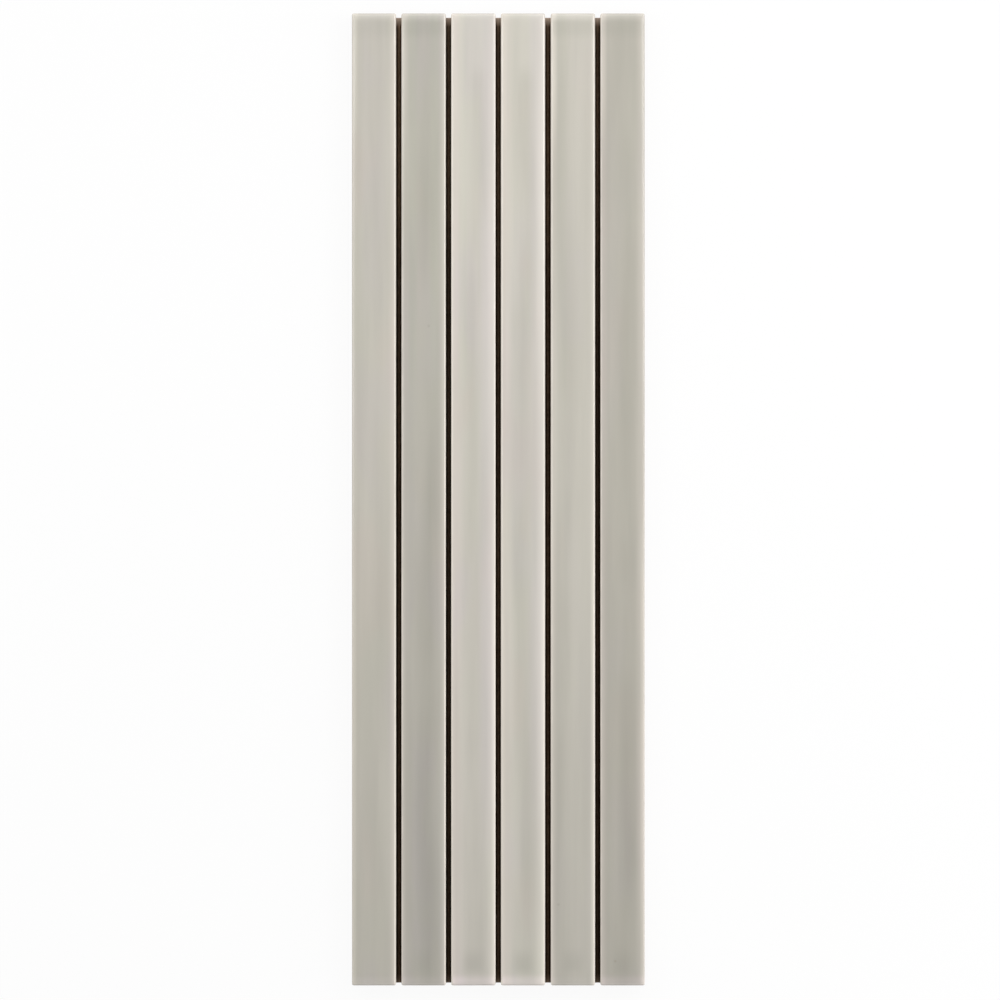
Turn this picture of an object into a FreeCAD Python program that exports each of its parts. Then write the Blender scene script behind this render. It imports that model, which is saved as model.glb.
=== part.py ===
import FreeCAD, Part
import math
import os

# A mosaic sheet of long glazed ceramic strips, held side by side by a net bedded in brown adhesive.
# It lies flat with the glaze up: strips along Y, side by side along X, resting on the net at Z = 0.
# The origin is the middle of the sheet's footprint. Lengths are in millimetres.

# The sheet
strip_count = 6
joint_width = 1.6

# One strip, over its face and from its back to the middle of its face
strip_length = 300.0
strip_width = 13.75
strip_thickness = 7.4
plan_corner_radius = 0.6

# The face is flat in the middle, rolls down softly towards its edges and ends in a tight arris
side_roll_width = 3.0
side_roll_radius = 12.0
end_roll_length = 4.0
end_roll_radius = 20.0
arris_radius = 0.7

# Below an upright rim the sides draw in towards the back, so that the pressed strip leaves its die
rim_height = 2.6
back_taper = 0.2

# Keying grooves along the back, which the bedding adhesive grips
groove_count = 2
groove_pitch = 5.2
groove_mouth = 2.4
groove_floor = 1.6
groove_depth = 0.5

# The backing: a skin of adhesive, set back from the sheet's outline, with the net's yarns under it
skin_thickness = 0.3
skin_setback = 0.75
yarn_relief = 0.3
yarn_pitch = 8.5
yarn_width = 0.9
yarn_flat = 0.6

strip_pitch = strip_width + joint_width
sheet_width = strip_count * strip_pitch - joint_width
backing_thickness = yarn_relief + skin_thickness

origin = FreeCAD.Vector(0, 0, 0)
up = FreeCAD.Vector(0, 0, 1)
quarter_turn = math.pi / 2


def rounded_rectangle(width, length, radius, height):
    """Closed outline with four round corners, centred on the Z axis at the given height."""
    corner_x = width / 2 - radius
    corner_y = length / 2 - radius
    corners = [(corner_x, corner_y), (-corner_x, corner_y), (-corner_x, -corner_y), (corner_x, -corner_y)]
    arcs = []
    for i, (x, y) in enumerate(corners):
        circle = Part.Circle(FreeCAD.Vector(x, y, height), up, radius)
        arcs.append(circle.toShape(i * quarter_turn, (i + 1) * quarter_turn))
    edges = []
    for arc, following in zip(arcs, arcs[1:] + arcs[:1]):
        side = Part.LineSegment(arc.Vertexes[-1].Point, following.Vertexes[0].Point)
        edges += [arc, side.toShape()]
    return Part.Wire(edges)


def swept_face(corners, length):
    """Straight bar along Y, centred on X and Y, with the given corners (x, z) of its section."""
    points = [FreeCAD.Vector(x, -length / 2, z) for x, z in corners]
    outline = Part.makePolygon(points + points[:1])
    return Part.Face(outline).extrude(FreeCAD.Vector(0, length, 0))


def pressed_blank():
    """A strip before its face is shaped: it widens from the back, then stands upright to the top."""
    rim_base = strip_thickness - rim_height
    back = rounded_rectangle(
        strip_width - 2 * back_taper, strip_length - 2 * back_taper, plan_corner_radius, 0
    )
    rim = rounded_rectangle(strip_width, strip_length, plan_corner_radius, rim_base)
    tapered = Part.makeLoft([back, rim], True, True)
    upright = Part.Face(rim).extrude(up * rim_height)
    return tapered.fuse(upright)


def arc_edge(centre_x, centre_z, radius, start, end):
    """Arc in the XZ plane. Its two angles are measured from straight up, turning towards +X."""
    points = []
    for angle in (start, (start + end) / 2, end):
        x = centre_x + radius * math.sin(angle)
        z = centre_z + radius * math.cos(angle)
        points.append(FreeCAD.Vector(x, 0, z))
    return Part.Arc(*points).toShape()


def face_prism(span, roll_width, roll_radius, length):
    """Bar along Y whose top has the section of a strip's face over the given span.

    From the middle outwards the section is flat, then a soft roll tangent to the flat, then the
    arris, which is tangent to the roll and to the upright side.
    """
    roll_centre_x = span / 2 - roll_width
    roll_centre_z = strip_thickness - roll_radius
    reach = roll_radius - arris_radius
    meeting_angle = math.asin((roll_width - arris_radius) / reach)
    arris_centre_x = span / 2 - arris_radius
    arris_centre_z = roll_centre_z + reach * math.cos(meeting_angle)
    roll = arc_edge(roll_centre_x, roll_centre_z, roll_radius, 0, meeting_angle)
    arris = arc_edge(arris_centre_x, arris_centre_z, arris_radius, meeting_angle, quarter_turn)
    top_middle = FreeCAD.Vector(0, 0, strip_thickness)
    side_foot = FreeCAD.Vector(span / 2, 0, -strip_thickness)
    foot_middle = FreeCAD.Vector(0, 0, -strip_thickness)
    right_half = [
        Part.LineSegment(top_middle, roll.Vertexes[0].Point).toShape(),
        roll,
        arris,
        Part.LineSegment(arris.Vertexes[-1].Point, side_foot).toShape(),
        Part.LineSegment(side_foot, foot_middle).toShape(),
    ]
    left_half = [edge.mirror(origin, FreeCAD.Vector(1, 0, 0)) for edge in right_half]
    outline = Part.Wire(Part.__sortEdges__(right_half + left_half))
    prism = Part.Face(outline).extrude(FreeCAD.Vector(0, length, 0))
    prism.translate(FreeCAD.Vector(0, -length / 2, 0))
    return prism


def keying_groove():
    """Cutter for one groove of the back: a flat floor between sloping walls, open below the back."""
    slope = (groove_mouth - groove_floor) / 2
    corners = [
        (-groove_mouth / 2 - slope, -groove_depth),
        (-groove_floor / 2, groove_depth),
        (groove_floor / 2, groove_depth),
        (groove_mouth / 2 + slope, -groove_depth),
    ]
    return swept_face(corners, strip_length)


def ceramic_strip():
    """One glazed strip, centred on the Z axis with its back at Z = 0."""
    across = face_prism(strip_width, side_roll_width, side_roll_radius, strip_length)
    along = face_prism(strip_length, end_roll_length, end_roll_radius, strip_width)
    along.rotate(origin, up, 90)
    strip = pressed_blank().common(across).common(along)
    for i in range(groove_count):
        groove = keying_groove()
        groove.translate(FreeCAD.Vector((i - (groove_count - 1) / 2) * groove_pitch, 0, 0))
        strip = strip.cut(groove)
    return strip.removeSplitter()


def net_yarn(length):
    """One yarn along Y: a flattened bar that stands out under the skin and is sunk half into it."""
    flare = (yarn_width - yarn_flat) / 2 / yarn_relief
    top = yarn_relief + skin_thickness / 2
    top_half = yarn_flat / 2 + flare * top
    corners = [(-yarn_flat / 2, 0), (yarn_flat / 2, 0), (top_half, top), (-top_half, top)]
    return swept_face(corners, length)


def yarn_places(span):
    """Centre lines of the yarns that fit across a span, with one of them in the middle."""
    each_side = int((span - yarn_width) / 2 // yarn_pitch)
    return [i * yarn_pitch for i in range(-each_side, each_side + 1)]


def mesh_backing():
    """The net and the adhesive skin that it is bedded in, as one sheet under all the strips."""
    width = sheet_width - 2 * skin_setback
    length = strip_length - 2 * skin_setback
    corner = FreeCAD.Vector(-width / 2, -length / 2, yarn_relief)
    skin = Part.makeBox(width, length, skin_thickness, corner)
    yarns = []
    for x in yarn_places(width):
        lengthwise = net_yarn(length)
        lengthwise.translate(FreeCAD.Vector(x, 0, 0))
        yarns.append(lengthwise)
    for y in yarn_places(length):
        crosswise = net_yarn(width)
        crosswise.rotate(origin, up, 90)
        crosswise.translate(FreeCAD.Vector(0, y, 0))
        yarns.append(crosswise)
    return skin.multiFuse(yarns).removeSplitter()


os.makedirs("parts", exist_ok=True)

pattern_strip = ceramic_strip()
for number in range(1, strip_count + 1):
    place_x = (number - (strip_count + 1) / 2) * strip_pitch
    strip = pattern_strip.copy()
    strip.translate(FreeCAD.Vector(place_x, 0, backing_thickness))
    strip.exportStep(f"parts/strip_{number}.step")

mesh_backing().exportStep("parts/mesh_backing.step")
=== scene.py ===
import math

import bpy
import numpy as np
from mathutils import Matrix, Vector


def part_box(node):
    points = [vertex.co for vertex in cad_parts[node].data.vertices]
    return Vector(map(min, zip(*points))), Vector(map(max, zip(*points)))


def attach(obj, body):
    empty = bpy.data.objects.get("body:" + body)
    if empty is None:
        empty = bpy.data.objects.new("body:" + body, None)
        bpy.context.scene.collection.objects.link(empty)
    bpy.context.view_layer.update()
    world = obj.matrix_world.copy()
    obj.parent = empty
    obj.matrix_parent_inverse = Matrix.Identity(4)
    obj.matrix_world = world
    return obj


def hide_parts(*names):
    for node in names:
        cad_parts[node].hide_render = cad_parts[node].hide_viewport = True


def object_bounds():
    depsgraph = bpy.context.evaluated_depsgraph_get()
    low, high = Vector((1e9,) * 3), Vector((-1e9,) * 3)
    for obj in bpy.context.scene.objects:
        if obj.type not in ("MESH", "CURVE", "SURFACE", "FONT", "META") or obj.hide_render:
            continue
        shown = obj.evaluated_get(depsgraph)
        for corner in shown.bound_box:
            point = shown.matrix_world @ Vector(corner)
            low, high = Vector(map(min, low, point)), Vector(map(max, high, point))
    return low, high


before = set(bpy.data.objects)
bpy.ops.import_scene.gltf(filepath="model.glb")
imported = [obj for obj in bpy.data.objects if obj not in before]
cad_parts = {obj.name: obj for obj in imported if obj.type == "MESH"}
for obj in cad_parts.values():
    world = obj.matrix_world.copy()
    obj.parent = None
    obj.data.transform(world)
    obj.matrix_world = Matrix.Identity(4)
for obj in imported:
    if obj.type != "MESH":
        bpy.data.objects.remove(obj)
cad_low, cad_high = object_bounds()


# GLAZED STRIPS
# Each strip is a long bar of pressed and fired clay with a glossy stone-coloured glaze. The glaze covers
# the face, breaks thin over the arris and ends in a thick wavy lip part of the way down the sides. Below
# it the clay is bare, and grooves along the back grip the adhesive. The strips lie side by side on the net.

mm = 0.001
strip_names = sorted(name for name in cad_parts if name.startswith("strip_"))

side_roll_width = 3.0 * mm
side_roll_radius = 12.0 * mm
end_roll_length = 4.0 * mm
end_roll_radius = 20.0 * mm
arris_radius = 0.7 * mm
plan_corner_radius = 0.6 * mm
groove_centre = 2.6 * mm
groove_half_mouth = 1.2 * mm
groove_half_floor = 0.8 * mm
groove_depth = 0.5 * mm
back_inset = 0.22 * mm
back_chamfer = 0.16 * mm
corner_sharpness = 3.0
roll_stations = 8
arris_stations = 9
flat_stations_along = 61
strip_sharp_from = 35

side_waver = 0.03 * mm
side_waver_length = 180 * mm
face_ripple = 0.035 * mm
slow_ripple_length = 280 * mm
twist_length = 140 * mm
fine_ripple_length = 17 * mm

glaze_thickness = 0.1 * mm
lip_round = 1.5 * glaze_thickness
glaze_skirt = 2.3 * mm
glaze_skirt_waver = 0.45 * mm
skirt_waves_round = 9

# How far the long sides of each strip, left and right, are set in from the nominal outline
strip_insets = {
    "strip_1": (0.08 * mm, 0.02 * mm),
    "strip_2": (0.0, 0.0),
    "strip_3": (0.0, 0.0),
    "strip_4": (0.0, 0.07 * mm),
    "strip_5": (0.04 * mm, 0.0),
    "strip_6": (0.0, 0.02 * mm),
}


def waves(places, longest, seed, count=5):
    """Smooth random curve from -1 to 1: cosines with random phases, each shorter and lower than the last.

    Each one is half as long as the one before, and the heights go down as one, a half, a third and so on.
    """
    draw = np.random.default_rng(seed)
    total = np.zeros_like(places)
    heights = 0.0
    for i in range(count):
        height = 1.0 / (1.0 + i)
        total += height * np.cos(2 * np.pi * places * 2.0 ** i / longest + draw.uniform(0, 2 * np.pi))
        heights += height
    return total / heights


def face_stations(half_span, roll_width, roll_radius, flat_places):
    """Places from one edge of the face to the other, and how far the face has dropped at each.

    The drop is nothing over the flat, then a circle of the roll's radius tangent to the flat, then a
    circle of the arris radius tangent to the roll, up to the upright side.
    """
    reach = roll_radius - arris_radius
    meeting = math.asin((roll_width - arris_radius) / reach)
    roll_turn = np.linspace(0, meeting, roll_stations, endpoint=False)
    roll_places = half_span - roll_width + roll_radius * np.sin(roll_turn)
    roll_drops = roll_radius * (1 - np.cos(roll_turn))
    arris_turn = np.linspace(meeting, np.pi / 2, arris_stations)
    arris_places = half_span - arris_radius * (1 - np.sin(arris_turn))
    arris_drops = roll_radius - reach * math.cos(meeting) - arris_radius * np.cos(arris_turn)
    places = np.concatenate([flat_places, roll_places, arris_places])
    drops = np.concatenate([np.zeros(len(flat_places)), roll_drops, arris_drops])
    return np.concatenate([-places[:0:-1], places]), np.concatenate([drops[:0:-1], drops])


def face_grid(half_width, half_length):
    """Grid over a strip's plan, and how far the face has dropped at each of its points.

    The drops across and along are taken together as a power mean, so that the corners are soft. Across
    the flat the grid has a line at every edge of the grooves, because the back is the same grid.
    """
    either_side = np.array([-1, 1])
    mouth_lines = groove_centre + either_side * groove_half_mouth
    floor_lines = groove_centre + either_side * groove_half_floor
    middle_lines = [0, mouth_lines[0] / 2, groove_centre]
    across_flat = np.unique(np.concatenate([middle_lines, mouth_lines, floor_lines]))
    across_flat = across_flat[across_flat < half_width - side_roll_width]
    along_flat = np.linspace(0, half_length - end_roll_length, flat_stations_along, endpoint=False)
    x_line, x_drop = face_stations(half_width, side_roll_width, side_roll_radius, across_flat)
    y_line, y_drop = face_stations(half_length, end_roll_length, end_roll_radius, along_flat)
    x, y = np.meshgrid(x_line, y_line, indexing="ij")
    drop_x, drop_y = np.meshgrid(x_drop, y_drop, indexing="ij")
    drop = (drop_x ** corner_sharpness + drop_y ** corner_sharpness) ** (1 / corner_sharpness)
    return x, y, drop


def rounded_plan(x, y, half_width, half_length, radius):
    """Moves the corner squares of a rectangle onto quarter discs, and leaves the rest where it is."""
    corner_x = half_width - radius
    corner_y = half_length - radius
    p = np.clip((np.abs(x) - corner_x) / radius, 0, 1)
    q = np.clip((np.abs(y) - corner_y) / radius, 0, 1)
    in_corner = (p > 0) & (q > 0)
    round_x = np.sign(x) * (corner_x + radius * p * np.sqrt(1 - q * q / 2))
    round_y = np.sign(y) * (corner_y + radius * q * np.sqrt(1 - p * p / 2))
    return np.where(in_corner, round_x, x), np.where(in_corner, round_y, y)


def drawn_in(place, half_span, zone, inset):
    """Shifts places near an edge inwards by the inset, easing off to nothing over the zone."""
    share = np.clip((np.abs(place) - (half_span - zone)) / zone, 0, 1)
    return place - np.sign(place) * inset * share * share * (3 - 2 * share)


def groove_height(x):
    """How far the back is hollowed at a place across it: flat floors between sloping walls."""
    off = np.abs(np.abs(x) - groove_centre)
    wall = (groove_half_mouth - off) / (groove_half_mouth - groove_half_floor)
    return groove_depth * np.clip(wall, 0, 1)


def grid_quads(columns, rows):
    """Corner indices of the quads of a grid whose points are stored column by column."""
    i, j = np.meshgrid(np.arange(columns - 1), np.arange(rows - 1), indexing="ij")
    first = (i * rows + j).ravel()
    return np.stack([first, first + rows, first + rows + 1, first + 1], axis=1)


def grid_border(columns, rows):
    """Indices of a grid's outer points, once round anticlockwise as seen from above."""
    index = np.arange(columns * rows).reshape(columns, rows)
    return np.concatenate([index[:-1, 0], index[-1, :-1], index[:0:-1, -1], index[0, :0:-1]])


def side_rows(rim, height, half_length, seed):
    """Heights, insets and glazed flags of the loops that carry a strip's rim down to its back.

    The glaze stays upright down to its lip, whose height wavers round the strip. The lip turns in by the
    glaze's thickness. The bare clay starts below the lowest reach of the lip, draws in evenly towards
    the back and ends in a chamfer, which rises with the grooves where they leave the ends.
    """
    rim_x, rim_y, rim_z = rim
    steps = np.hypot(np.diff(rim_x, append=rim_x[0]), np.diff(rim_y, append=rim_y[0]))
    run = np.cumsum(steps)
    lip = height - glaze_skirt + glaze_skirt_waver * waves(run, run[-1] / skirt_waves_round, seed + 5)
    clay_top = height - glaze_skirt - glaze_skirt_waver - 2 * lip_round
    hollow = groove_height(rim_x) * (np.abs(rim_y) > half_length - plan_corner_radius)
    return [
        (rim_z + (lip - rim_z) * 0.3, 0.0, True),
        (rim_z + (lip - rim_z) * 0.65, 0.0, True),
        (lip + 2.0 * lip_round, 0.0, True),
        (lip + lip_round, 0.1 * glaze_thickness, True),
        (lip + 0.4 * lip_round, 0.4 * glaze_thickness, True),
        (lip, glaze_thickness, True),
        (np.full_like(lip, clay_top), glaze_thickness, False),
        (np.full_like(lip, clay_top / 2), (glaze_thickness + back_inset) / 2, False),
        (hollow + back_chamfer * 1.6, back_inset, False),
        (hollow + back_chamfer * 0.5, back_inset + 0.3 * back_chamfer, False),
    ]


def strip_surface(low, high, left_inset, right_inset, seed):
    """Points, quads, glazed flags and point values of one strip.

    The face is a grid over the plan, whose height is the top less its drop and a shallow ripple. Its
    long sides are set in a little, by their own inset and a slow waver. The border of the grid is then
    carried down the sides as a stack of loops, and the back is the same grid again with its grooves.
    Each point keeps how far across and along the strip it is, from -1 to 1, and how far it is from the
    long sides and from the ends, in the plan and then on down the wall.
    """
    half_width = (high.x - low.x) / 2
    half_length = (high.y - low.y) / 2
    height = high.z - low.z
    x, y, drop = face_grid(half_width, half_length)
    columns, rows = x.shape

    plan_x, plan_y = rounded_plan(x, y, half_width, half_length, plan_corner_radius)
    left_waver = 0.5 + 0.5 * waves(plan_y, side_waver_length, seed)
    right_waver = 0.5 + 0.5 * waves(plan_y, side_waver_length, seed + 1)
    share = np.clip(plan_x / half_width, -1, 1)
    draw = np.where(share < 0, left_inset + side_waver * left_waver, right_inset + side_waver * right_waver)
    plan_x = plan_x - share * draw

    slow = waves(plan_y, slow_ripple_length, seed + 2)
    twist = waves(plan_y, twist_length, seed + 3) * share
    fine = waves(plan_x + 0.3 * plan_y, fine_ripple_length, seed + 4, 3)
    ripple = face_ripple * (0.5 + 0.25 * slow + 0.15 * twist + 0.1 * fine)
    face = np.stack([plan_x, plan_y, height - drop - ripple], axis=-1).reshape(-1, 3)

    border = grid_border(columns, rows)
    rim = face[border].T
    wall = side_rows(rim, height, half_length, seed)
    loops = []
    for z, inset, _ in wall:
        loop_x = drawn_in(rim[0], half_width, side_roll_width, inset)
        loop_y = drawn_in(rim[1], half_length, end_roll_length, inset)
        loops.append(np.stack([loop_x, loop_y, z], axis=-1))

    back_x = drawn_in(plan_x, half_width, side_roll_width, back_inset + back_chamfer)
    back_y = drawn_in(plan_y, half_length, end_roll_length, back_inset + back_chamfer)
    back = np.stack([back_x, back_y, groove_height(x)], axis=-1).reshape(-1, 3)
    points = np.concatenate([face] + loops + [back])
    points += np.array([(low.x + high.x) / 2, (low.y + high.y) / 2, low.z])

    around = len(border)
    back_start = len(face) + around * len(loops)
    rings = [border] + [len(face) + around * k + np.arange(around) for k in range(len(loops))]
    rings.append(back_start + border)
    glazed_rows = [row_glazed for _, _, row_glazed in wall] + [False]
    quads = [grid_quads(columns, rows)]
    glazed = [np.ones(len(quads[0]), bool)]
    for upper, lower, row_glazed in zip(rings, rings[1:], glazed_rows):
        quads.append(np.stack([upper, lower, np.roll(lower, -1), np.roll(upper, -1)], axis=1))
        glazed.append(np.full(around, row_glazed))
    quads.append(grid_quads(columns, rows)[:, ::-1] + back_start)
    glazed.append(np.zeros(len(quads[-1]), bool))

    downs = [rim[2] - z for z, _, _ in wall]
    no_gain = [0.0] * len(downs)
    kept = {
        "across": (x / half_width, no_gain),
        "along": (y / half_length, no_gain),
        "side_distance": (half_width - np.abs(x), downs),
        "end_distance": (half_length - np.abs(y), downs),
    }
    values = {}
    for key, (on_grid, gains) in kept.items():
        on_grid = on_grid.ravel()
        values[key] = np.concatenate([on_grid] + [on_grid[border] + gain for gain in gains] + [on_grid])
    return points, np.concatenate(quads), np.concatenate(glazed), values


def shown_piece(name, points, faces, materials, sharp_from):
    """Makes a piece that rides on the one body, smooth but for edges past an angle in degrees."""
    mesh = bpy.data.meshes.new(name)
    mesh.from_pydata(points.tolist(), [], faces)
    for material in materials:
        mesh.materials.append(material)
    mesh.polygons.foreach_set("use_smooth", np.ones(len(mesh.polygons), bool))
    mesh.set_sharp_from_angle(angle=math.radians(sharp_from))
    mesh.update()
    piece = bpy.data.objects.new(name, mesh)
    bpy.context.scene.collection.objects.link(piece)
    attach(piece, "root")
    return piece


def keep_on_points(piece, values):
    """Stores named values on the points of a piece's mesh, for its material to read."""
    for name, numbers in values.items():
        attribute = piece.data.attributes.new(name, "FLOAT", "POINT")
        attribute.data.foreach_set("value", numbers.astype(np.float32))


def node_group(name, vectors, colours, numbers):
    """A shader node group that puts out a colour, a roughness and a height, and its two end nodes."""
    group = bpy.data.node_groups.new(name, "ShaderNodeTree")
    inputs = (("NodeSocketVector", vectors), ("NodeSocketColor", colours), ("NodeSocketFloat", numbers))
    for socket_type, socket_names in inputs:
        for socket_name in socket_names:
            group.interface.new_socket(socket_name, in_out="INPUT", socket_type=socket_type)
    group.interface.new_socket("Colour", in_out="OUTPUT", socket_type="NodeSocketColor")
    for socket_name in ("Roughness", "Height"):
        group.interface.new_socket(socket_name, in_out="OUTPUT", socket_type="NodeSocketFloat")
    return group, group.nodes.new("NodeGroupInput"), group.nodes.new("NodeGroupOutput")


def new_material(name):
    """A new material, its node tree and its one shader."""
    material = bpy.data.materials.new(name)
    material.use_nodes = True
    return material, material.node_tree, material.node_tree.nodes["Principled BSDF"]


def add_node(tree, kind, settings=None, values=None):
    """Adds a node, sets its own properties, then its unlinked inputs by name or number."""
    node = tree.nodes.new(kind)
    for key, value in (settings or {}).items():
        setattr(node, key, value)
    for key, value in (values or {}).items():
        node.inputs[key].default_value = value
    return node


def feed(tree, source, socket):
    """Links a socket to an input, or sets the input to a plain value."""
    if isinstance(source, bpy.types.NodeSocket):
        tree.links.new(source, socket)
    else:
        socket.default_value = source


def sums(tree, operation, first, second=0.0):
    """One arithmetic step on sockets or plain numbers."""
    node = add_node(tree, "ShaderNodeMath", {"operation": operation})
    feed(tree, first, node.inputs[0])
    feed(tree, second, node.inputs[1])
    return node.outputs[0]


def product(tree, *factors):
    """All the factors multiplied together."""
    total = factors[0]
    for factor in factors[1:]:
        total = sums(tree, "MULTIPLY", total, factor)
    return total


def greatest(tree, *masks):
    """The strongest of several masks at each place."""
    total = masks[0]
    for mask in masks[1:]:
        total = sums(tree, "MAXIMUM", total, mask)
    return total


def away(tree, value, place):
    """How far a value is from a place, on either side of it."""
    return sums(tree, "ABSOLUTE", sums(tree, "SUBTRACT", value, place))


def spread(tree, value, low, high, to_low=0.0, to_high=1.0):
    """Maps a value between two limits onto two others, clamped, with soft ends."""
    node = add_node(tree, "ShaderNodeMapRange", {"interpolation_type": "SMOOTHSTEP"})
    for index, source in enumerate((value, low, high, to_low, to_high)):
        feed(tree, source, node.inputs[index])
    return node.outputs[0]


def band(tree, value, start, full, still_full, finish):
    """A mask that rises softly between the first two limits and falls between the last two."""
    return product(tree, spread(tree, value, start, full), spread(tree, value, finish, still_full))


def mix_colours(tree, blend, factor, first, second):
    """Mixes two colours, each a socket or a plain value."""
    node = add_node(tree, "ShaderNodeMix", {"data_type": "RGBA", "blend_type": blend})
    feed(tree, factor, node.inputs[0])
    feed(tree, first, node.inputs[6])
    feed(tree, second, node.inputs[7])
    return node.outputs[2]


def turned(tree, colour, mask, other):
    """A colour that turns into another one where the mask is full."""
    return mix_colours(tree, "MIX", mask, colour, other)


def tinted(tree, colour, mask, tint):
    """A colour multiplied by a tint where the mask is full."""
    return mix_colours(tree, "MULTIPLY", mask, colour, tint)


def shaded(tree, colour, level):
    """A colour made darker or lighter by one level for all three channels."""
    grey = add_node(tree, "ShaderNodeCombineColor")
    for channel in range(3):
        tree.links.new(level, grey.inputs[channel])
    return mix_colours(tree, "MULTIPLY", 1.0, colour, grey.outputs[0])


def cloud(tree, vector, stretch, detail=2.0, roughness=0.5, shift=(0.0, 0.0, 0.0)):
    """Soft noise whose patches measure about one over the stretch along each axis, in metres."""
    mapping = add_node(tree, "ShaderNodeMapping", None, {"Scale": stretch, "Location": shift})
    noise = add_node(
        tree, "ShaderNodeTexNoise", None, {"Scale": 1.0, "Detail": detail, "Roughness": roughness}
    )
    tree.links.new(vector, mapping.inputs["Vector"])
    tree.links.new(mapping.outputs[0], noise.inputs["Vector"])
    return noise.outputs[0]


def middle_pool(tree, given):
    """The darker pool along the middle: a line that wanders about its own place, in soft patches.

    In the last stretch before the top end it is only as strong as the pool at that end.
    """
    wander = spread(tree, cloud(tree, given["Vector"], (0, 8, 0)), 0.3, 0.7, -0.2, 0.2)
    line = sums(tree, "ADD", wander, given["Pool Place"])
    shape = spread(tree, away(tree, given["Across"], line), 0.65, 0.0)
    patches = cloud(tree, given["Vector"], (25, 14, 25), shift=(7, 3, 1))
    patches = spread(tree, patches, 0.35, 0.6, 0.2, 1.0)
    near_head = spread(tree, given["Along"], 0.85, 0.91, 1.0, given["Head Pool"])
    return product(tree, shape, patches, given["Pooling"], near_head)


def foot_pool(tree, given):
    """The dark pool in the middle of the lower end, a few millimetres short of it."""
    lengthwise = band(tree, given["End Distance"], 2.5 * mm, 6 * mm, 7 * mm, 13 * mm)
    crosswise = spread(tree, away(tree, given["Across"], 0.0), 0.75, 0.1)
    at_foot = spread(tree, given["Along"], 0.0, -0.5)
    return product(tree, lengthwise, crosswise, at_foot, given["Foot Pool"])


def head_pool(tree, given):
    """The darker bar across the top end, a few millimetres short of it."""
    lengthwise = band(tree, given["End Distance"], 1.2 * mm, 2.8 * mm, 5 * mm, 9 * mm)
    at_head = spread(tree, given["Along"], 0.5, 0.9)
    return product(tree, lengthwise, at_head, given["Head Pool"])


def foot_sheen(tree, given):
    """Painted sheen along the lower end: the end roll made paler and whiter, as if it reflected the bright
    floor beyond.
    """
    lengthwise = spread(tree, given["End Distance"], 4.2 * mm, 1.5 * mm)
    at_foot = spread(tree, given["Along"], 0.0, -0.5)
    return product(tree, lengthwise, at_foot, given["Foot Sheen"])


def end_sheen(tree, given):
    """Painted light on the last millimetres of both ends, where the end rolls catch it, at the top only as
    far as glaze has pooled there.
    """
    lengthwise = spread(tree, given["End Distance"], 3.4 * mm, 1.2 * mm)
    own_end = spread(tree, given["Along"], -0.2, 0.2, 1.0, given["Head Pool"])
    return product(tree, lengthwise, own_end)


def cool_patches(tree, given):
    """Where the glaze turns faintly lavender.

    It does so in drifting patches, along the right side down to near the lower end, and in one long
    patch in the middle, which has its own place and reach and is broken up a little.
    """
    drifting = spread(tree, cloud(tree, given["Vector"], (90, 22, 90), 1.5, shift=(2, 8, 4)), 0.52, 0.66)
    drifting = product(tree, drifting, given["Hue Drift"])
    right_side = spread(tree, given["Across"], 0.1, 0.5)
    above_foot = spread(tree, given["Along"], -0.85, -0.45)
    right_band = product(tree, right_side, above_foot, given["Cool Band"])
    off_patch = away(tree, given["Along"], given["Patch Place"])
    lengthwise = spread(tree, sums(tree, "DIVIDE", off_patch, given["Patch Reach"]), 1.0, 0.55)
    crosswise = spread(tree, away(tree, given["Across"], 0.0), 0.75, 0.3)
    broken = cloud(tree, given["Vector"], (110, 45, 110), shift=(3, 6, 2))
    broken = spread(tree, broken, 0.35, 0.55, 0.45, 1.0)
    patch = product(tree, lengthwise, crosswise, broken, given["Patch Strength"])
    return greatest(tree, drifting, right_band, patch)


def pink_patches(tree, given):
    """Where the glaze turns faintly pink, in drifting patches."""
    drifting = spread(tree, cloud(tree, given["Vector"], (80, 24, 80), 1.5, shift=(9, 1, 6)), 0.54, 0.68)
    return product(tree, drifting, given["Hue Drift"])


def green_bands(tree, given):
    """Where the glaze is greener: in drifting patches, and inside the margins of the upper half."""
    drifting = spread(tree, cloud(tree, given["Vector"], (60, 18, 60), 1.5, shift=(4, 4, 9)), 0.45, 0.65)
    drifting = product(tree, drifting, given["Hue Drift"])
    off_band = away(tree, away(tree, given["Across"], 0.0), 0.48)
    upper_half = spread(tree, given["Along"], 0.05, 0.3)
    own_side = spread(tree, given["Across"], -0.1, 0.1, given["Left Green"], given["Right Green"])
    bands = product(tree, spread(tree, off_band, 0.28, 0.1), upper_half, own_side)
    return greatest(tree, drifting, bands)


def by_side(tree, given, left, right):
    """A value that passes softly from a left one to a right one over the middle of the strip."""
    return spread(tree, given["Across"], -0.2, 0.2, left, right)


def side_margins(tree, given):
    """The lighter margins along the long sides, each as wide as its own side says."""
    own_width = by_side(tree, given, given["Left Width"], given["Right Width"])
    return spread(tree, given["Side Distance"], own_width, 0.4 * mm)


def pale_margins_and_highlight(tree, given):
    """The palest part of the margins, partly the glaze's own and partly painted highlight: on both sides of
    the lower half, and on the left near the top.
    """
    foot = spread(tree, given["Side Distance"], 1.8 * mm, 0.5 * mm)
    foot_side = by_side(tree, given, given["Left Foot"], given["Right Foot"])
    foot = product(tree, foot, spread(tree, given["Along"], 0.1, -0.3), foot_side)
    head = spread(tree, given["Side Distance"], 2.4 * mm, 0.9 * mm)
    head_side = by_side(tree, given, given["Left Head"], 0.0)
    head = product(tree, head, spread(tree, given["Along"], 0.66, 0.88), head_side)
    return greatest(tree, foot, head)


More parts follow.
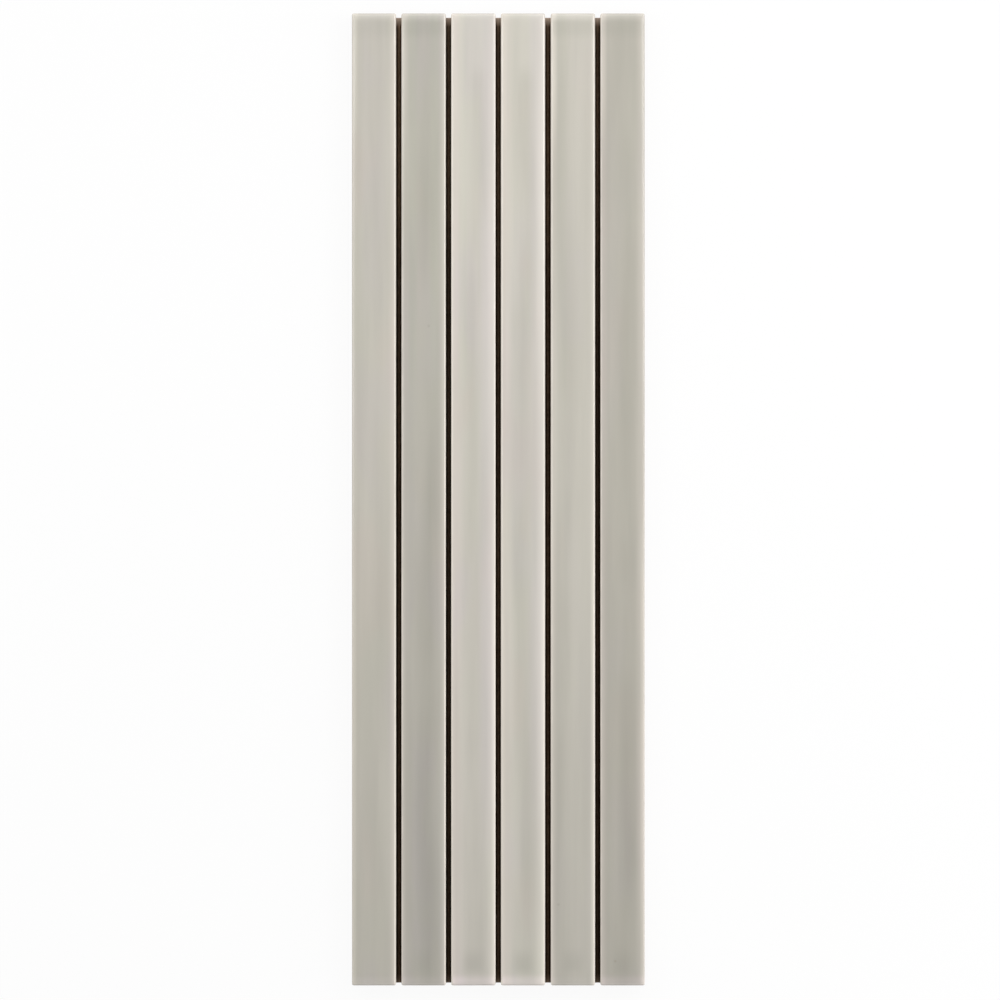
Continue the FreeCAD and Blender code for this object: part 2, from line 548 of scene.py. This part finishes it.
def thin_rim_and_highlight(tree, given):
    """Where the glaze breaks thin over the arris, partly real and partly painted highlight, in broken lines
    that grow stronger down the strip.
    """
    broken = spread(tree, cloud(tree, given["Vector"], (500, 120, 500), 3.0, 0.6), 0.3, 0.7, 0.6, 1.0)
    sides = spread(tree, given["Side Distance"], 0.7 * mm, 0.25 * mm)
    own_side = by_side(tree, given, given["Left Rim"], given["Right Rim"])
    near_head = by_side(tree, given, 1.1, 0.6)
    lengthwise = spread(tree, given["Along"], 0.7, -0.5, near_head, 1.35)
    ends = spread(tree, given["End Distance"], 1.0 * mm, 0.3 * mm, 0.0, 0.25)
    return greatest(tree, product(tree, sides, broken, own_side, lengthwise), ends)


def specks(tree, given):
    """A few faint dark specks: a dot in one cell out of about twenty-five of a cell pattern."""
    cells = add_node(tree, "ShaderNodeTexVoronoi", None, {"Scale": 160.0})
    pick = add_node(tree, "ShaderNodeSeparateColor")
    tree.links.new(given["Vector"], cells.inputs["Vector"])
    tree.links.new(cells.outputs["Color"], pick.inputs[0])
    dot = spread(tree, cells.outputs["Distance"], 0.1, 0.03)
    chosen = spread(tree, pick.outputs[0], 0.95, 0.97)
    return product(tree, dot, chosen, 0.2)


# Tints multiply the body colour of the glaze, and the last two colours take its place
middle_pool_tint = (0.87, 0.87, 0.86, 1)
foot_pool_tint = (0.89, 0.89, 0.89, 1)
head_pool_tint = (0.93, 0.935, 0.93, 1)
# Painted sheen on the lower end roll, standing in for a reflection
foot_sheen_tint = (1.17, 1.13, 1.19, 1)
# Painted light on the end rolls of both ends
end_sheen_tint = (1.06, 1.06, 1.07, 1)
lavender_tint = (0.995, 0.978, 1.036, 1)
pink_tint = (1.03, 0.985, 0.99, 1)
green_tint = (0.98, 1.0, 0.975, 1)
# Paler margins, partly painted highlight
pale_margin_and_highlight_tint = (1.2, 1.2, 1.2, 1)
# Thin glaze over the arris, partly a painted highlight along the edges
thin_glaze_and_highlight = (0.86, 0.8, 0.72, 1)
speck_brown = (0.25, 0.2, 0.15, 1)

# The glaze pools darker along the middle and short of the ends, and streaks run along it. Its hue drifts in
# long soft patches, its margins are lighter, and at the arris it breaks thin over the clay. Painted light
# and shade go on top: sheen on the end rolls, highlight on the margins and arrises, and shade over the
# lower half.
glaze_group, glaze_in, glaze_out = node_group(
    "pooled_glaze",
    ["Vector"],
    ["Body Colour", "Left Margin", "Right Margin"],
    [
        "Across", "Along", "Side Distance", "End Distance",
        "Left Width", "Right Width", "Left Rim", "Right Rim", "Left Head", "Left Foot", "Right Foot",
        "Pool Place", "Pooling", "Head Pool", "Foot Pool", "Foot Sheen", "Foot Tone And Painted Shade",
        "Patch Place", "Patch Reach", "Patch Strength",
        "Hue Drift", "Cool Band", "Left Green", "Right Green",
    ],
)
tree = glaze_group
given = glaze_in.outputs
# Darker towards the lower end: partly each strip's own tone, partly painted shade that adds to the lamps'
# falloff
foot_tone_and_painted_shade = spread(tree, given["Along"], 0.5, -0.9, 1.0, given["Foot Tone And Painted Shade"])
streaks = cloud(tree, given["Vector"], (170, 12, 170), 3.0, 0.55, (1, 5, 2))
streaks = spread(tree, streaks, 0.3, 0.7, 0.96, 1.035)
on_right = by_side(tree, given, 0.0, 1.0)
margin_tint = turned(tree, given["Left Margin"], on_right, given["Right Margin"])
colour = tinted(tree, given["Body Colour"], middle_pool(tree, given), middle_pool_tint)
colour = shaded(tree, colour, foot_tone_and_painted_shade)
colour = tinted(tree, colour, foot_pool(tree, given), foot_pool_tint)
colour = tinted(tree, colour, head_pool(tree, given), head_pool_tint)
# Painted sheen and painted light on the end rolls
colour = tinted(tree, colour, foot_sheen(tree, given), foot_sheen_tint)
colour = tinted(tree, colour, end_sheen(tree, given), end_sheen_tint)
colour = shaded(tree, colour, streaks)
colour = tinted(tree, colour, cool_patches(tree, given), lavender_tint)
colour = tinted(tree, colour, pink_patches(tree, given), pink_tint)
colour = tinted(tree, colour, green_bands(tree, given), green_tint)
colour = tinted(tree, colour, side_margins(tree, given), margin_tint)
# The margins: the glaze's own lighter edges, then paler ones that are partly painted highlight
colour = tinted(tree, colour, pale_margins_and_highlight(tree, given), pale_margin_and_highlight_tint)
# The arrises: thin glaze, partly painted highlight
colour = turned(tree, colour, thin_rim_and_highlight(tree, given), thin_glaze_and_highlight)
colour = turned(tree, colour, specks(tree, given), speck_brown)
gloss = spread(tree, cloud(tree, given["Vector"], (90, 30, 90), 3.0), 0.3, 0.7, 0.12, 0.22)
tree.links.new(colour, glaze_out.inputs["Colour"])
tree.links.new(gloss, glaze_out.inputs["Roughness"])
tree.links.new(cloud(tree, given["Vector"], (420, 300, 420)), glaze_out.inputs["Height"])


def point_value(tree, name):
    """A value that is stored on the points of the mesh."""
    return add_node(tree, "ShaderNodeAttribute", {"attribute_name": name}).outputs["Fac"]


def feed_shader(tree, pattern, shader, bump_strength, bump_depth):
    """Links a pattern's colour, roughness and height to a material's shader, the height as a bump."""
    bump = add_node(tree, "ShaderNodeBump", None, {"Strength": bump_strength, "Distance": bump_depth})
    tree.links.new(pattern.outputs["Colour"], shader.inputs["Base Color"])
    tree.links.new(pattern.outputs["Roughness"], shader.inputs["Roughness"])
    tree.links.new(pattern.outputs["Height"], bump.inputs["Height"])
    tree.links.new(bump.outputs[0], shader.inputs["Normal"])


def glaze_material(name, looks, shift):
    """The glaze of one strip, in its own shade, with its pattern shifted so that no two strips match."""
    material, tree, shader = new_material(name)
    coordinates = add_node(tree, "ShaderNodeTexCoord")
    mapping = add_node(tree, "ShaderNodeMapping", None, {"Location": shift})
    glaze = add_node(tree, "ShaderNodeGroup", {"node_tree": glaze_group})
    tree.links.new(coordinates.outputs["Object"], mapping.inputs["Vector"])
    tree.links.new(mapping.outputs[0], glaze.inputs["Vector"])
    for key in ("across", "along", "side_distance", "end_distance"):
        tree.links.new(point_value(tree, key), glaze.inputs[key.replace("_", " ").title()])
    for key, value in looks.items():
        glaze.inputs[key.replace("_", " ").title()].default_value = value
    feed_shader(tree, glaze, shader, 0.25, 0.06 * mm)
    shader.inputs["IOR"].default_value = 1.52
    return material


def clay_material():
    """Bare fired clay: warm brown, dull and slightly sandy, with adhesive smeared along its foot."""
    material, tree, shader = new_material("bare_clay")
    coordinates = add_node(tree, "ShaderNodeTexCoord").outputs["Object"]
    patches = spread(tree, cloud(tree, coordinates, (120, 60, 120), 4.0), 0.3, 0.7)
    clay = mix_colours(tree, "MIX", patches, (0.34, 0.22, 0.138, 1), (0.46, 0.318, 0.215, 1))
    split = add_node(tree, "ShaderNodeSeparateXYZ")
    tree.links.new(coordinates, split.inputs[0])
    smear_edge = cloud(tree, coordinates, (150, 90, 0), 4.0, 0.6)
    smear_edge = spread(tree, smear_edge, 0.35, 0.7, 0.3 * mm, 1.9 * mm)
    above_edge = sums(tree, "SUBTRACT", split.outputs["Z"], smear_edge)
    smear = spread(tree, above_edge, 0.9 * mm, 0.3 * mm, 0.0, 0.75)
    clay = turned(tree, clay, smear, (0.2, 0.137, 0.088, 1))
    grains = spread(tree, cloud(tree, coordinates, (2600, 2600, 2600)), 0.55, 0.72, 0.0, 0.45)
    clay = turned(tree, clay, grains, (0.24, 0.15, 0.1, 1))
    bump = add_node(tree, "ShaderNodeBump", None, {"Strength": 0.5, "Distance": 0.1 * mm})
    tree.links.new(clay, shader.inputs["Base Color"])
    tree.links.new(cloud(tree, coordinates, (1500, 1500, 1500), 4.0, 0.6), bump.inputs["Height"])
    tree.links.new(bump.outputs[0], shader.inputs["Normal"])
    shader.inputs["Roughness"].default_value = 0.88
    shader.inputs["Specular IOR Level"].default_value = 0.3
    return material


# The glaze of each strip, in its own colours, with how strong its painted sheen, highlight and shade are.
# The margins are tints of its body colour, and an effect that a strip lacks isn't named, so that it stays
# at nothing.
strip_glazes = {
    "strip_1": dict(
        body_colour=(0.54, 0.515, 0.452, 1),
        left_margin=(1.07, 1.06, 1.05, 1), left_width=2.4 * mm, left_rim=0.3,
        right_margin=(1.14, 1.105, 1.12, 1), right_width=2.4 * mm, right_rim=0.95,
        left_head=0.6, left_foot=0.6, right_foot=0.15,
        pool_place=0.25, pooling=0.35, head_pool=0.6, foot_sheen=0.25, foot_tone_and_painted_shade=0.975,
        patch_place=0.75, patch_reach=0.45, patch_strength=0.6, hue_drift=0.45,
    ),
    "strip_2": dict(
        body_colour=(0.475, 0.453, 0.398, 1),
        left_margin=(1.12, 1.1, 1.11, 1), left_width=3.2 * mm, left_rim=0.75,
        right_margin=(1.17, 1.155, 1.165, 1), right_width=2.2 * mm, right_rim=0.9,
        left_head=0.5, left_foot=0.35,
        pool_place=0.15, pooling=0.85, head_pool=1.0, foot_pool=0.4, foot_sheen=0.4, foot_tone_and_painted_shade=0.97,
        patch_place=-0.72, patch_reach=0.28, patch_strength=0.8,
        hue_drift=0.45, left_green=1.0, right_green=1.0,
    ),
    "strip_3": dict(
        body_colour=(0.603, 0.574, 0.512, 1),
        left_margin=(1.12, 1.075, 1.095, 1), left_width=4.6 * mm, left_rim=1.25,
        right_margin=(1.11, 1.1, 1.1, 1), right_width=3.2 * mm, right_rim=0.95,
        left_head=0.3, left_foot=0.3, right_foot=0.65,
        pool_place=0.05, pooling=0.62, foot_pool=1.0, foot_sheen=1.0, foot_tone_and_painted_shade=0.965,
        patch_place=0.93, patch_reach=0.14, patch_strength=0.6,
        hue_drift=0.55, cool_band=0.85, left_green=0.9,
    ),
    "strip_4": dict(
        body_colour=(0.596, 0.571, 0.504, 1),
        left_margin=(1.115, 1.075, 1.09, 1), left_width=4.8 * mm, left_rim=1.1,
        right_margin=(1.15, 1.14, 1.14, 1), right_width=3.7 * mm, right_rim=0.9,
        left_head=0.4, left_foot=0.4, right_foot=0.5,
        pool_place=0.0, pooling=0.8, foot_pool=1.0, foot_sheen=1.0, foot_tone_and_painted_shade=0.98,
        patch_place=0.0, patch_reach=0.22, patch_strength=0.65,
        hue_drift=0.45, cool_band=0.75, left_green=0.3,
    ),
    "strip_5": dict(
        body_colour=(0.553, 0.528, 0.465, 1),
        left_margin=(1.1, 1.072, 1.085, 1), left_width=2.6 * mm, left_rim=0.9,
        right_margin=(1.08, 1.07, 1.07, 1), right_width=1.9 * mm, right_rim=0.95,
        left_head=0.85, left_foot=0.55, right_foot=0.85,
        pool_place=-0.5, pooling=0.62, head_pool=1.0, foot_pool=0.7, foot_sheen=0.1, foot_tone_and_painted_shade=0.935,
        patch_place=0.42, patch_reach=0.12, patch_strength=0.5, hue_drift=0.2, left_green=0.4,
    ),
    "strip_6": dict(
        body_colour=(0.467, 0.445, 0.388, 1),
        left_margin=(1.14, 1.1, 1.125, 1), left_width=2.8 * mm, left_rim=0.65,
        right_margin=(1.14, 1.12, 1.135, 1), right_width=3.4 * mm, right_rim=0.25,
        left_head=0.9, left_foot=0.4, right_foot=0.8,
        pool_place=0.15, pooling=0.8, head_pool=0.8, foot_pool=0.4, foot_sheen=0.75, foot_tone_and_painted_shade=0.975,
        patch_place=-0.7, patch_reach=0.15, patch_strength=0.4, hue_drift=0.25,
    ),
}
pattern_shifts = {
    "strip_1": (0.37, 0.61, 0.0),
    "strip_2": (0.74, 1.33, 0.0),
    "strip_3": (1.11, 1.83, 0.0),
    "strip_4": (1.48, 2.44, 0.0),
    "strip_5": (1.85, 3.05, 0.0),
    "strip_6": (2.22, 3.66, 0.0),
}
bare_clay = clay_material()

for number, name in enumerate(strip_names, start=1):
    low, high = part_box(name)
    left_inset, right_inset = strip_insets[name]
    points, quads, glazed, values = strip_surface(low, high, left_inset, right_inset, 40 * number)
    glaze = glaze_material("glaze_" + name, strip_glazes[name], pattern_shifts[name])
    piece = shown_piece("glazed_" + name, points, quads.tolist(), [glaze, bare_clay], strip_sharp_from)
    piece.data.polygons.foreach_set("material_index", (~glazed).astype(np.int32))
    keep_on_points(piece, values)
    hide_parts(name)


# NET AND ADHESIVE
# A coarse net of glass-fibre yarn is bedded in a thin skin of brown adhesive, rolled on while the strips
# lie face down in a tray. It stops a little short of the sheet's outline, and lies a touch off centre. The
# skin is the dark floor of the joints, where it climbs a little up the strips, with painted shade along the
# joints' sides and painted light at their ends. The yarns stand out below.

net_low, net_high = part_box("mesh_backing")
half_x, half_y = net_high.x, net_high.y
net_shift = 0.25 * mm
yarn_relief = 0.3 * mm
skin_sharp_from = 35
yarn_sharp_from = 65

skin_ripple = 0.05 * mm
skin_rise = 0.14 * mm
skin_rise_fade = 0.7 * mm
joint_half_width = 0.8 * mm
joint_ripple = 0.04 * mm
fillet_height = 0.4 * mm
fillet_reach = 1.0 * mm
fillet_hidden_reach = 1.3 * mm

yarn_pitch = 8.5 * mm
yarn_half_width = 0.42 * mm
yarn_half_height = 0.12 * mm
crosswise_height = 0.21 * mm
crosswise_sway = 0.1 * mm
strand_radius = 0.13 * mm
strand_offset = 0.2 * mm
strand_rise = 0.07 * mm
lengthwise_sway = 0.06 * mm

# The adhesive's shade in each joint, how much lighter it is near the top end, and how much painted light
# falls into that end
joint_shades = np.array([0.95, 0.75, 0.95, 1.02, 0.7])
joint_top_lifts = np.array([0.85, 0.6, 0.35, 0.45, 0.8])
joint_end_light = np.array([1.0, 0.75, 0.87, 1.0, 0.87])
joint_top_start = 74 * mm
joint_top_reach = 16 * mm


def yarn_lines(half_span, half_yarn):
    """Centre lines of the yarns that fit across a span, with one of them in the middle."""
    each_side = int((half_span - half_yarn) // yarn_pitch)
    return np.arange(-each_side, each_side + 1) * yarn_pitch


def nearest(places, lines):
    """Distance from each place to the nearest of the lines."""
    return np.abs(places[:, None] - lines[None, :]).min(axis=1)


def stations_beside(lines, offsets, half_span):
    """Grid lines at the given offsets from each line, on both sides, within a half span."""
    both_sides = np.concatenate([-offsets, offsets])
    stations = (lines[:, None] + both_sides[None, :]).ravel()
    return stations[np.abs(stations) < half_span - 0.3 * mm]


def skin_lines(warp_x, weft_y, joint_x):
    """Grid lines of the skin across and along: close beside the yarns, and closest in the joints."""
    beside_yarn = np.array([0, 0.45, 1.0, 2.0, 4.25]) * mm
    beside_joint = np.array([0, 0.25, 0.45, 0.6, 0.7, 0.8, 1.0, 1.3]) * mm
    at_yarns = stations_beside(warp_x, beside_yarn, half_x)
    at_joints = stations_beside(joint_x, beside_joint, half_x)
    x_line = np.concatenate([[-half_x], at_yarns, at_joints, [half_x]])
    y_line = np.concatenate([[-half_y], stations_beside(weft_y, beside_yarn, half_y), [half_y]])
    return np.unique(x_line.round(6)), np.unique(y_line.round(6))


def adhesive_skin(x_line, y_line, warp_x, weft_y, joint_x):
    """The skin's points and quads.

    The top is flat under the strips. In a joint it rises with the cube of the distance from the joint's
    middle, up to the strips' sides, and drops back out of sight inside them. The underside is the skin's
    own level plus a slow ripple, less a swelling round the yarns that dies away with the distance from
    the nearest one.
    """
    x, y = np.meshgrid(x_line, y_line, indexing="ij")
    columns, rows = x.shape
    off_joint = nearest(x_line, joint_x)[:, None] + np.zeros_like(x)
    in_fillet = off_joint < fillet_reach
    climb = fillet_height * np.minimum(off_joint / fillet_reach, 1) ** 3
    hidden = np.clip((fillet_hidden_reach - off_joint) / (fillet_hidden_reach - fillet_reach), 0, 1)
    lumps = joint_ripple * waves(y, 40 * mm, 503) * in_fillet
    top_z = net_high.z + climb * hidden + lumps - joint_ripple * in_fillet

    off_warp, off_weft = np.meshgrid(nearest(x_line, warp_x), nearest(y_line, weft_y), indexing="ij")
    rise = skin_rise * np.exp(-np.minimum(off_warp, off_weft) / skin_rise_fade)
    ripple = waves(x + 0.4 * y, 62 * mm, 501) * waves(y - 0.3 * x, 46 * mm, 502)
    under_z = net_low.z + yarn_relief - rise + skin_ripple * ripple

    top = np.stack([x, y, top_z], axis=-1).reshape(-1, 3)
    under = np.stack([x, y, under_z], axis=-1).reshape(-1, 3)
    upper = grid_border(columns, rows)
    lower = upper + columns * rows
    wall = np.stack([upper, lower, np.roll(lower, -1), np.roll(upper, -1)], axis=1)
    face_quads = grid_quads(columns, rows)
    quads = np.concatenate([face_quads, face_quads[:, ::-1] + columns * rows, wall])
    return np.concatenate([top, under]), quads


def skin_values(x_line, y_line, joint_x):
    """The skin's values at its points: flank, paleness and end light, which are plain on the underside.

    The flank grows from nothing in a joint's middle to one at the strips, and is the mask for the painted
    shade along the joints' sides. The paleness is the nearest joint's own shade, with its own lift towards
    the top end. The end light is painted light where light falls into the open ends of the joints: the
    joint's own share in the last two millimetres of the top end, with a faint start over the last twelve,
    and a quarter in the last of the bottom end.
    """
    x, y = np.meshgrid(x_line, y_line, indexing="ij")
    flank = np.clip(nearest(x_line, joint_x) / joint_half_width, 0, 1)[:, None] + np.zeros_like(x)
    joint = np.abs(x_line[:, None] - joint_x[None, :]).argmin(axis=1)
    toward_top = np.clip((y - joint_top_start) / joint_top_reach, 0, 1)
    paleness = joint_shades[joint][:, None] * (1 + joint_top_lifts[joint][:, None] * toward_top)
    top_end = np.clip((y - half_y + 2.4 * mm) / (2.0 * mm), 0, 1)
    top_start = 0.06 * np.clip((y - half_y + 12 * mm) / (9 * mm), 0, 1) ** 2
    bottom_end = np.clip((-y - half_y + 1.0 * mm) / (0.8 * mm), 0, 1)
    end_light = joint_end_light[joint][:, None] * np.maximum(top_end, top_start) + 0.25 * bottom_end
    under = np.zeros(x.size)
    return {
        "flank": np.concatenate([flank.ravel(), under]),
        "paleness": np.concatenate([paleness.ravel(), under + 1]),
        "end_light": np.concatenate([end_light.ravel(), under]),
    }


def strands(paths, side_axis, half_width, half_height, sides):
    """Closed tubes along many paths at once, each with an elliptical section.

    The section at each point of a path is a ring: the side axis times the half width and the cosine of
    the turn, plus straight up times the half height and its sine.
    """
    turn = np.linspace(0, 2 * np.pi, sides, endpoint=False)
    ring = np.outer(np.cos(turn) * half_width, side_axis) + np.outer(np.sin(turn) * half_height, (0, 0, 1))
    count, steps = paths.shape[:2]
    points = (paths[:, :, None, :] + ring[None, None, :, :]).reshape(-1, 3)
    index = np.arange(count * steps * sides).reshape(count, steps, sides)
    near, far = index[:, :-1], index[:, 1:]
    quads = np.stack([near, np.roll(near, -1, 2), np.roll(far, -1, 2), far], axis=-1).reshape(-1, 4)
    caps = [list(ends) for ends in index[:, 0, ::-1]] + [list(ends) for ends in index[:, -1]]
    return points, quads.tolist() + caps


# Painted light: the pale colour of the adhesive where light falls into the joints' open ends
end_lit_adhesive = (0.66, 0.53, 0.43, 1)
# Painted shade: nearly black along the joints' sides, where the strips shade the joint floor
flank_painted_shade = (0.038, 0.018, 0.008, 1)

adhesive_group, adhesive_in, adhesive_out = node_group(
    "dried_adhesive", ["Vector"], ["Dark", "Light"], ["Flank", "Paleness", "End_Light"]
)
tree = adhesive_group
given = adhesive_in.outputs
smears = spread(tree, cloud(tree, given["Vector"], (60, 25, 60), 5.0, 0.6), 0.3, 0.7)
grit = spread(tree, cloud(tree, given["Vector"], (900, 900, 900), 3.0, 0.6), 0.35, 0.75, 0.85, 1.12)
brown = turned(tree, given["Dark"], smears, given["Light"])
# Painted shade along the sides of the joints
brown = turned(tree, brown, spread(tree, given["Flank"], 0.15, 0.7), flank_painted_shade)
brown = shaded(tree, brown, grit)
brown = shaded(tree, brown, given["Paleness"])
# Painted light at the open ends of the joints
brown = turned(tree, brown, given["End_Light"], end_lit_adhesive)
gloss = spread(tree, cloud(tree, given["Vector"], (140, 90, 140), 3.0), 0.3, 0.7, 0.42, 0.65)
tree.links.new(brown, adhesive_out.inputs["Colour"])
tree.links.new(gloss, adhesive_out.inputs["Roughness"])
tree.links.new(cloud(tree, given["Vector"], (350, 220, 350), 5.0, 0.65), adhesive_out.inputs["Height"])


def adhesive_material(name, dark, light, bump_depth):
    """Dried brown adhesive: smeared, a little gritty, with a soft gloss that comes and goes."""
    material, tree, shader = new_material(name)
    coordinates = add_node(tree, "ShaderNodeTexCoord")
    shades = {"Dark": dark, "Light": light, "Paleness": 1.0}
    adhesive = add_node(tree, "ShaderNodeGroup", {"node_tree": adhesive_group}, shades)
    tree.links.new(coordinates.outputs["Object"], adhesive.inputs["Vector"])
    feed_shader(tree, adhesive, shader, 0.5, bump_depth)
    shader.inputs["Specular IOR Level"].default_value = 0.15
    return material, adhesive


skin_brown, skin_pattern = adhesive_material(
    "adhesive_skin", (0.17, 0.114, 0.07, 1), (0.26, 0.177, 0.113, 1), 0.15 * mm
)
for key in ("flank", "paleness", "end_light"):
    tree = skin_brown.node_tree
    tree.links.new(point_value(tree, key), skin_pattern.inputs[key.title()])
yarn_brown, _ = adhesive_material(
    "soaked_yarn", (0.24, 0.17, 0.115, 1), (0.42, 0.34, 0.25, 1), 0.08 * mm
)

strip_boxes = [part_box(name) for name in strip_names]
joint_x = np.array([(left[1].x + right[0].x) / 2 for left, right in zip(strip_boxes, strip_boxes[1:])])
warp_x = yarn_lines(half_x, yarn_half_width)
weft_y = yarn_lines(half_y, yarn_half_width)

x_line, y_line = skin_lines(warp_x, weft_y, joint_x)
points, quads = adhesive_skin(x_line, y_line, warp_x, weft_y, joint_x)
points[:, 1] -= net_shift
skin = shown_piece("adhesive_skin", points, quads.tolist(), [skin_brown], skin_sharp_from)
keep_on_points(skin, skin_values(x_line, y_line, joint_x))

# Each lengthwise yarn is two strands twisted round each other, half a turn to every crosswise yarn
along = np.linspace(-half_y, half_y, 350)
twist = np.pi * along / yarn_pitch
paths = []
for yarn_number, x in enumerate(warp_x):
    sway = lengthwise_sway * waves(along, 60 * mm, 700 + yarn_number)
    for side in (-1, 1):
        path_x = x + sway + side * strand_offset * np.cos(twist + np.pi / 2)
        path_z = strand_radius + strand_rise * (1 + side * np.cos(twist))
        paths.append(np.stack([path_x, along, net_low.z + path_z], axis=-1))
points, faces = strands(np.array(paths), (1, 0, 0), strand_radius, strand_radius, 6)
points[:, 1] -= net_shift
lengthwise = shown_piece("net_lengthwise_yarns", points, faces, [yarn_brown], yarn_sharp_from)

# Each crosswise yarn is laid flat through the twists of the lengthwise ones
across = np.linspace(-half_x, half_x, 80)
paths = []
for yarn_number, y in enumerate(weft_y):
    sway = crosswise_sway * waves(across, 45 * mm, 900 + yarn_number)
    path_z = np.full_like(across, net_low.z + crosswise_height)
    paths.append(np.stack([across, y + sway, path_z], axis=-1))
points, faces = strands(np.array(paths), (0, 1, 0), yarn_half_width, yarn_half_height, 8)
points[:, 1] -= net_shift
crosswise = shown_piece("net_crosswise_yarns", points, faces, [yarn_brown], yarn_sharp_from)

for piece in (skin, lengthwise, crosswise):
    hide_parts("mesh_backing")


# FLOOR
# A plain white sweep that the part lies on. It shows white to the camera, keeps the part's soft shadow,
# and throws plain pale light back on everything else.

floor_drop = 0.05 * mm
floor_half = 4.0
floor_points = np.array([(-1, -1, 0), (1, -1, 0), (1, 1, 0), (-1, 1, 0)], float) * floor_half
floor_points[:, 2] = cad_low.z - floor_drop
floor_mesh = bpy.data.meshes.new("floor")
floor_mesh.from_pydata(floor_points.tolist(), [], [(0, 1, 2, 3)])
floor = bpy.data.objects.new("floor", floor_mesh)
bpy.context.scene.collection.objects.link(floor)

floor_white, tree, shader = new_material("floor_white")
shader.inputs["Base Color"].default_value = (0.88, 0.88, 0.88, 1)
shader.inputs["Roughness"].default_value = 1.0
shader.inputs["Specular IOR Level"].default_value = 0.0
rays = add_node(tree, "ShaderNodeLightPath")
coordinates = add_node(tree, "ShaderNodeTexCoord")
distance = add_node(tree, "ShaderNodeVectorMath", {"operation": "LENGTH"})
white = add_node(tree, "ShaderNodeEmission", None, {"Strength": 1.0})
floor_mix = add_node(tree, "ShaderNodeMixShader")
tree.links.new(coordinates.outputs["Object"], distance.inputs[0])
whiteness = spread(tree, distance.outputs["Value"], 0.2, 0.8, 0.93, 1.0)
seen = greatest(tree, rays.outputs["Is Camera Ray"], rays.outputs["Is Glossy Ray"])
tree.links.new(product(tree, whiteness, seen), floor_mix.inputs[0])
tree.links.new(shader.outputs[0], floor_mix.inputs[1])
tree.links.new(white.outputs[0], floor_mix.inputs[2])
tree.links.new(floor_mix.outputs[0], tree.nodes["Material Output"].inputs["Surface"])
floor_mesh.materials.append(floor_white)


# LIGHT
# A white tent, brighter beyond the top end and darker straight above, where the camera looks in. Soft
# boxes hang over the long sides, nearer the top end, and beyond that end. A low box on the right lights
# the arrises that face it, and is kept out of the glaze's reflections.

world = bpy.data.worlds.new("tent")
world.use_nodes = True
bpy.context.scene.world = world
tree = world.node_tree
background = tree.nodes["Background"]
background.inputs["Color"].default_value = (1, 1, 1, 1)
rays = add_node(tree, "ShaderNodeLightPath")
direction = add_node(tree, "ShaderNodeTexCoord")
split = add_node(tree, "ShaderNodeSeparateXYZ")
tree.links.new(direction.outputs["Generated"], split.inputs[0])
overhead = spread(tree, split.outputs["Z"], 0.9, 0.98, 0.5, 0.18)
toward_top = spread(tree, split.outputs["Y"], -0.9, 0.9, 0.7, 1.5)
strength = add_node(tree, "ShaderNodeMix", {"data_type": "FLOAT"})
tree.links.new(rays.outputs["Is Camera Ray"], strength.inputs[0])
tree.links.new(product(tree, overhead, toward_top), strength.inputs[2])
strength.inputs[3].default_value = 1.0
tree.links.new(strength.outputs[0], background.inputs["Strength"])


def soft_box(name, place, width, length, watts):
    """A rectangular lamp at a place, facing the middle of the sheet."""
    lamp = bpy.data.lights.new(name, "AREA")
    lamp.shape = "RECTANGLE"
    lamp.size = width
    lamp.size_y = length
    lamp.energy = watts
    holder = bpy.data.objects.new(name, lamp)
    bpy.context.scene.collection.objects.link(holder)
    holder.location = place
    tilt = math.atan2(math.hypot(place[0], place[1]), place[2])
    holder.rotation_euler = (tilt, 0, math.atan2(-place[1], -place[0]) - math.pi / 2)
    return holder


soft_box("right_box", (0.3, 0.17, 0.36), 0.3, 0.2, 0.85)
soft_box("left_box", (-0.3, 0.12, 0.36), 0.3, 0.2, 0.45)
soft_box("top_box", (0.0, 0.45, 0.45), 0.4, 0.3, 0.6)
low_right_box = soft_box("low_right_box", (0.38, -0.17, 0.15), 0.5, 0.1, 0.5)
low_right_box.visible_glossy = False


# CAMERA
# Straight above the sheet with a long lens, the top of the photograph towards +Y. Its height and place
# put the sheet where the photograph has it.

photo_size = 1000.0
photo_sheet_length = 972.4
photo_sheet_centre_x = 498.25
photo_sheet_centre_y = 499.4
lens = 300.0
sensor = 36.0
metres_per_pixel = (cad_high.y - cad_low.y) / photo_sheet_length
view_width = photo_size * metres_per_pixel

camera = bpy.data.cameras.new("camera")
camera.lens = lens
camera.sensor_width = sensor
camera.clip_start = 0.1
camera.clip_end = 20.0
holder = bpy.data.objects.new("camera", camera)
bpy.context.scene.collection.objects.link(holder)
holder.location = (
    (photo_size / 2 - photo_sheet_centre_x) * metres_per_pixel,
    (photo_sheet_centre_y - photo_size / 2) * metres_per_pixel,
    cad_high.z + view_width * lens / sensor,
)
bpy.context.scene.camera = holder
bpy.context.scene.view_settings.view_transform = "Standard"
